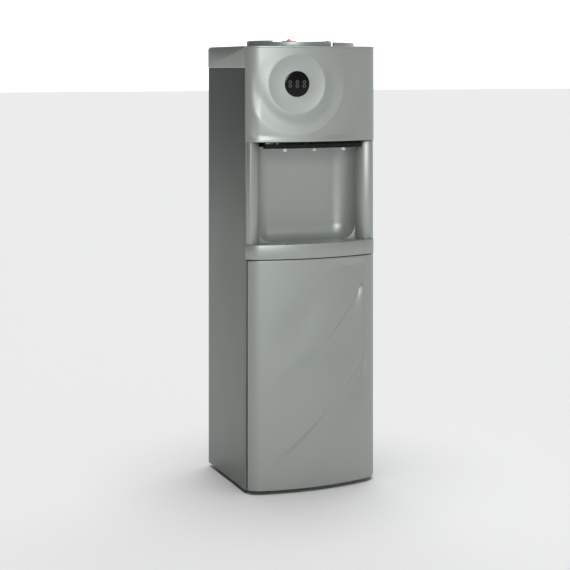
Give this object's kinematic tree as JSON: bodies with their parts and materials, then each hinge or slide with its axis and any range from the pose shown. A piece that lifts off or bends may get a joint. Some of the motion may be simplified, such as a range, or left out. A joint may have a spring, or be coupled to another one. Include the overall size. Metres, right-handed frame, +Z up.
{
  "type": "water dispenser",
  "caption": "Tall free-standing water dispenser: bowed silver front, rippled head with a black control disc, taps over an open alcove, drip tray, cupboard door and bottle seat on top.",
  "frame": {"origin": "on the floor, at the centre of the bounding box's base", "axes": "+Z up, the front faces -Y, +X to the right as seen from the front"},
  "size_m": [0.309, 0.3, 0.9826],
  "materials": {
    "silver_cover": "satin silver paint",
    "steel_side": "satin brushed",
    "black_gloss": "high gloss",
    "black_matte": "fine grain",
    "white_plastic": "smooth",
    "light_ring": "smooth",
    "red_plastic": "gloss",
    "blue_plastic": "gloss",
    "zinc_steel": "zinc plated",
    "tank_steel": "brushed",
    "copper_pipe": "drawn copper",
    "black_metal": "black enamel",
    "rubber": "matte",
    "foam": "foam",
    "board": "lacquered",
    "spring_steel": "bright",
    "hose": "silicone"
  },
  "bodies": {
    "cabinet": {"feet": "rubber", "base_pan": "zinc_steel", "left_side_panel": "steel_side", "right_side_panel": "steel_side", "back_cover": "black_metal", "cover_screws": "zinc_steel", "front_frame": "black_matte", "cupboard_liner": "white_plastic", "hinge_brackets": "zinc_steel", "strike_plate": "zinc_steel", "alcove_panel": "silver_cover", "key_bar": "black_gloss", "spring_hot": "spring_steel", "spring_room": "spring_steel", "spring_cold": "spring_steel", "tap_hot": "white_plastic", "tap_room": "white_plastic", "tap_cold": "white_plastic", "tap_plate": "black_matte", "head_cover": "silver_cover", "control_disc": "black_gloss", "indicator_rings": "light_ring", "control_board": "board", "top_cover": "silver_cover", "cold_tank": "tank_steel", "cold_tank_foam": "foam", "evaporator_coil": "copper_pipe", "tank_shelf": "zinc_steel", "boiler_shelf": "zinc_steel", "hot_tank": "tank_steel", "hot_tank_jacket": "foam", "water_hoses": "hose", "compressor": "black_metal", "compressor_grommets": "rubber", "condenser_tube": "black_metal", "condenser_wires": "black_metal", "condenser_clips": "black_matte", "filter_dryer": "copper_pipe", "refrigerant_pipes": "copper_pipe", "switch_housing": "black_matte", "drain_outlet": "white_plastic", "cord_gland": "rubber"},
    "door": {"door_panel": "silver_cover", "door_liner": "white_plastic", "door_gasket": "rubber", "door_magnet": "black_matte"},
    "tray": {"drip_tray": "silver_cover"},
    "tray_cover": {"drip_cover": "silver_cover"},
    "hot_key": {"key_hot": "black_gloss"},
    "room_key": {"key_room": "black_gloss"},
    "cold_key": {"key_cold": "black_gloss"},
    "hot_stem": {"stem_hot": "white_plastic"},
    "room_stem": {"stem_room": "white_plastic"},
    "cold_stem": {"stem_cold": "white_plastic"},
    "seat": {"bottle_seat": "silver_cover", "seat_probe": "white_plastic"},
    "seat_cap": {"probe_cap": "red_plastic"},
    "hot_rocker": {"rocker_hot": "red_plastic"},
    "cold_rocker": {"rocker_cold": "blue_plastic"},
    "drain_plug": {"drain_cap": "black_matte"}
  },
  "joints": [
    {"name": "door_swing", "type": "hinge", "parent": "cabinet", "child": "door", "pos_m": [0.138, -0.1172, 0.25], "axis": [0, 0, 1], "range_deg": [0, 110]},
    {"name": "tray_pull", "type": "slide", "parent": "cabinet", "child": "tray", "axis": [0, -1, 0], "range_m": [0, 0.065]},
    {"name": "tray_cover_lift", "type": "slide", "parent": "tray", "child": "tray_cover", "axis": [0, 0, 1], "range_m": [0, 0.04]},
    {"name": "hot_key_press", "type": "slide", "parent": "cabinet", "child": "hot_key", "axis": [0, 1, 0], "range_m": [0, 0.003], "stiffness_N_per_m": 250, "springref_m": -0.002},
    {"name": "hot_stem_lift", "type": "slide", "parent": "cabinet", "child": "hot_stem", "axis": [0, 0, 1], "range_m": [0, 0.003], "stiffness_N_per_m": 250, "springref_m": -0.002, "deforming": ["spring_hot"]},
    {"name": "room_key_press", "type": "slide", "parent": "cabinet", "child": "room_key", "axis": [0, 1, 0], "range_m": [0, 0.003], "stiffness_N_per_m": 250, "springref_m": -0.002},
    {"name": "room_stem_lift", "type": "slide", "parent": "cabinet", "child": "room_stem", "axis": [0, 0, 1], "range_m": [0, 0.003], "stiffness_N_per_m": 250, "springref_m": -0.002, "deforming": ["spring_room"]},
    {"name": "cold_key_press", "type": "slide", "parent": "cabinet", "child": "cold_key", "axis": [0, 1, 0], "range_m": [0, 0.003], "stiffness_N_per_m": 250, "springref_m": -0.002},
    {"name": "cold_stem_lift", "type": "slide", "parent": "cabinet", "child": "cold_stem", "axis": [0, 0, 1], "range_m": [0, 0.003], "stiffness_N_per_m": 250, "springref_m": -0.002, "deforming": ["spring_cold"]},
    {"name": "seat_lift", "type": "slide", "parent": "cabinet", "child": "seat", "axis": [0, 0, 1], "range_m": [0, 0.08]},
    {"name": "seat_cap_lift", "type": "slide", "parent": "seat", "child": "seat_cap", "axis": [0, 0, 1], "range_m": [0, 0.05]},
    {"name": "hot_rocker_tilt", "type": "hinge", "parent": "cabinet", "child": "hot_rocker", "pos_m": [0.082, 0.1227, 0.876], "axis": [1, 0, 0], "range_deg": [0, 16]},
    {"name": "cold_rocker_tilt", "type": "hinge", "parent": "cabinet", "child": "cold_rocker", "pos_m": [0.102, 0.1227, 0.876], "axis": [1, 0, 0], "range_deg": [0, 16]},
    {"name": "drain_plug_pull", "type": "slide", "parent": "cabinet", "child": "drain_plug", "axis": [0, 1, 0], "range_m": [0, 0.02]}
  ],
  "couplings": [
    {"joint": "hot_stem_lift", "follows": "hot_key_press", "ratio": 1},
    {"joint": "room_stem_lift", "follows": "room_key_press", "ratio": 1},
    {"joint": "cold_stem_lift", "follows": "cold_key_press", "ratio": 1}
  ]
}
